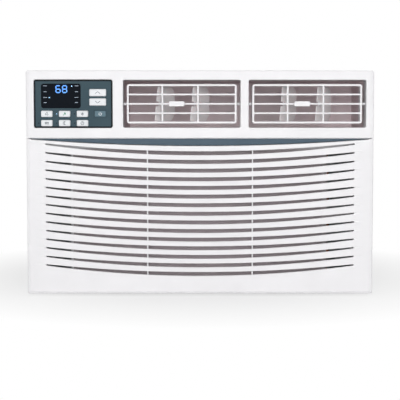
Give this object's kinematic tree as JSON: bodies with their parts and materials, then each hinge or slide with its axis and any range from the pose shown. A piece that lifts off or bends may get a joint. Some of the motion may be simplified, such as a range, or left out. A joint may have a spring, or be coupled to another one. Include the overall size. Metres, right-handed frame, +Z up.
{
  "type": "window air conditioner",
  "caption": "Window air conditioner with tip-out intake grille, louvred air outlets with swinging vanes, control panel with keys and display, side-drawn filter and full cooling circuit.",
  "frame": {"origin": "under the middle of the unit, on the surface that its base pan rests on", "axes": "+X to the right seen from the room, +Y from the room side to the outdoor side, +Z up"},
  "size_m": [0.6, 0.56, 0.391],
  "materials": {
    "front_white": "satin white moulded ABS",
    "vane_plastic": "pale grey, slightly translucent",
    "panel_grey": "fine satin slate grey",
    "key_white": "satin white keys",
    "strip_blue": "metallic steel blue",
    "lens_dark": "dark tinted window",
    "module_black": "black",
    "board_green": "solder mask",
    "filter_plastic": "pale grey moulding",
    "filter_net": "fine polypropylene net",
    "cabinet_paint": "powder coat",
    "zinc_steel": "galvanised",
    "foam_duct": "moulded foam",
    "black_plastic": "black moulding",
    "fin_aluminium": "mill finish fins",
    "copper": "copper tube",
    "black_paint": "black enamel",
    "rubber": "rubber"
  },
  "bodies": {
    "housing": {"front_bezel": "front_white", "front_frame": "front_white", "control_panel": "panel_grey", "accent_strip": "strip_blue", "display_lens": "lens_dark", "display_module": "module_black", "relays": "module_black", "run_capacitor": "module_black", "tact_switches": "module_black", "cord_gland": "module_black", "display_board": "board_green", "power_board": "board_green", "cabinet_top": "cabinet_paint", "cabinet_side_left": "cabinet_paint", "cabinet_side_right": "cabinet_paint", "rear_guard": "cabinet_paint", "base_pan": "zinc_steel", "control_box": "zinc_steel", "bulkhead": "zinc_steel", "motor_bracket": "zinc_steel", "fan_motor": "zinc_steel", "transformer": "zinc_steel", "cabinet_screws": "zinc_steel", "grille_hinge_pins": "zinc_steel", "discharge_duct": "foam_duct", "blower_scroll": "foam_duct", "fan_shroud": "black_plastic", "evaporator_fins": "fin_aluminium", "condenser_fins": "fin_aluminium", "evaporator_tubes": "copper", "condenser_tubes": "copper", "suction_pipe": "copper", "discharge_pipe": "copper", "accumulator": "copper", "compressor": "black_paint", "compressor_mounts": "rubber"},
    "grille": {"intake_grille": "front_white"},
    "filter": {"filter_frame": "filter_plastic", "filter_mesh": "filter_net"},
    "rotor": {"motor_shaft": "zinc_steel", "blower_wheel": "black_plastic", "condenser_fan": "black_plastic"},
    "louver_left": {"louver_frame_left": "front_white"},
    "vane_left_1": {"vane_left_1": "vane_plastic"},
    "vane_left_2": {"vane_left_2": "vane_plastic"},
    "link_left": {"vane_link_left": "front_white"},
    "louver_right": {"louver_frame_right": "front_white"},
    "vane_right_1": {"vane_right_1": "vane_plastic"},
    "vane_right_2": {"vane_right_2": "vane_plastic"},
    "link_right": {"vane_link_right": "front_white"},
    "button_up": {"button_up": "key_white"},
    "button_down": {"button_down": "key_white"},
    "button_fan_speed": {"button_fan_speed": "key_white"},
    "button_energy_saver": {"button_energy_saver": "key_white"},
    "button_mode": {"button_mode": "key_white"},
    "button_power": {"button_power": "panel_grey"},
    "button_filter_check": {"button_filter_check": "key_white"},
    "button_sleep": {"button_sleep": "key_white"},
    "button_timer": {"button_timer": "key_white"}
  },
  "joints": [
    {"name": "grille_tilt", "type": "hinge", "parent": "housing", "child": "grille", "pos_m": [0, -0.2705, 0.01], "axis": [1, 0, 0], "range_deg": [0, 25]},
    {"name": "filter_slide", "type": "slide", "parent": "housing", "child": "filter", "axis": [1, 0, 0], "range_m": [0, 0.5]},
    {"name": "fan_spin", "type": "hinge", "parent": "housing", "child": "rotor", "pos_m": [0.04, -0.03, 0.17375], "axis": [0, 1, 0], "continuous": true},
    {"name": "louver_left_tilt", "type": "hinge", "parent": "housing", "child": "louver_left", "pos_m": [-0.0315, -0.258, 0.3335], "axis": [1, 0, 0], "range_deg": [-15, 15]},
    {"name": "vane_left_1_swing", "type": "hinge", "parent": "louver_left", "child": "vane_left_1", "pos_m": [-0.0651, -0.243, 0.3335], "axis": [0, 0, 1], "range_deg": [-5, 65]},
    {"name": "vane_left_2_swing", "type": "hinge", "parent": "louver_left", "child": "vane_left_2", "pos_m": [-0.0034, -0.243, 0.3335], "axis": [0, 0, 1], "range_deg": [-5, 65]},
    {"name": "vane_link_left_swing", "type": "hinge", "parent": "vane_left_1", "child": "link_left", "pos_m": [-0.0711, -0.25339, 0.3335], "axis": [0, 0, 1], "range_deg": [-65, 5]},
    {"name": "louver_right_tilt", "type": "hinge", "parent": "housing", "child": "louver_right", "pos_m": [0.18525, -0.258, 0.3335], "axis": [1, 0, 0], "range_deg": [-15, 15]},
    {"name": "vane_right_1_swing", "type": "hinge", "parent": "louver_right", "child": "vane_right_1", "pos_m": [0.15165, -0.243, 0.3335], "axis": [0, 0, 1], "range_deg": [-5, 65]},
    {"name": "vane_right_2_swing", "type": "hinge", "parent": "louver_right", "child": "vane_right_2", "pos_m": [0.21335, -0.243, 0.3335], "axis": [0, 0, 1], "range_deg": [-5, 65]},
    {"name": "vane_link_right_swing", "type": "hinge", "parent": "vane_right_1", "child": "link_right", "pos_m": [0.14565, -0.25339, 0.3335], "axis": [0, 0, 1], "range_deg": [-65, 5]},
    {"name": "button_up_press", "type": "slide", "parent": "housing", "child": "button_up", "axis": [0, 1, 0], "range_m": [0, 0.001], "stiffness_N_per_m": 900},
    {"name": "button_down_press", "type": "slide", "parent": "housing", "child": "button_down", "axis": [0, 1, 0], "range_m": [0, 0.001], "stiffness_N_per_m": 900},
    {"name": "button_fan_speed_press", "type": "slide", "parent": "housing", "child": "button_fan_speed", "axis": [0, 1, 0], "range_m": [0, 0.001], "stiffness_N_per_m": 900},
    {"name": "button_energy_saver_press", "type": "slide", "parent": "housing", "child": "button_energy_saver", "axis": [0, 1, 0], "range_m": [0, 0.001], "stiffness_N_per_m": 900},
    {"name": "button_mode_press", "type": "slide", "parent": "housing", "child": "button_mode", "axis": [0, 1, 0], "range_m": [0, 0.001], "stiffness_N_per_m": 900},
    {"name": "button_power_press", "type": "slide", "parent": "housing", "child": "button_power", "axis": [0, 1, 0], "range_m": [0, 0.001], "stiffness_N_per_m": 900},
    {"name": "button_filter_check_press", "type": "slide", "parent": "housing", "child": "button_filter_check", "axis": [0, 1, 0], "range_m": [0, 0.001], "stiffness_N_per_m": 900},
    {"name": "button_sleep_press", "type": "slide", "parent": "housing", "child": "button_sleep", "axis": [0, 1, 0], "range_m": [0, 0.001], "stiffness_N_per_m": 900},
    {"name": "button_timer_press", "type": "slide", "parent": "housing", "child": "button_timer", "axis": [0, 1, 0], "range_m": [0, 0.001], "stiffness_N_per_m": 900}
  ],
  "couplings": [
    {"joint": "vane_left_2_swing", "follows": "vane_left_1_swing", "ratio": 1},
    {"joint": "vane_link_left_swing", "follows": "vane_left_1_swing", "ratio": -1},
    {"joint": "vane_right_2_swing", "follows": "vane_right_1_swing", "ratio": 1},
    {"joint": "vane_link_right_swing", "follows": "vane_right_1_swing", "ratio": -1}
  ]
}
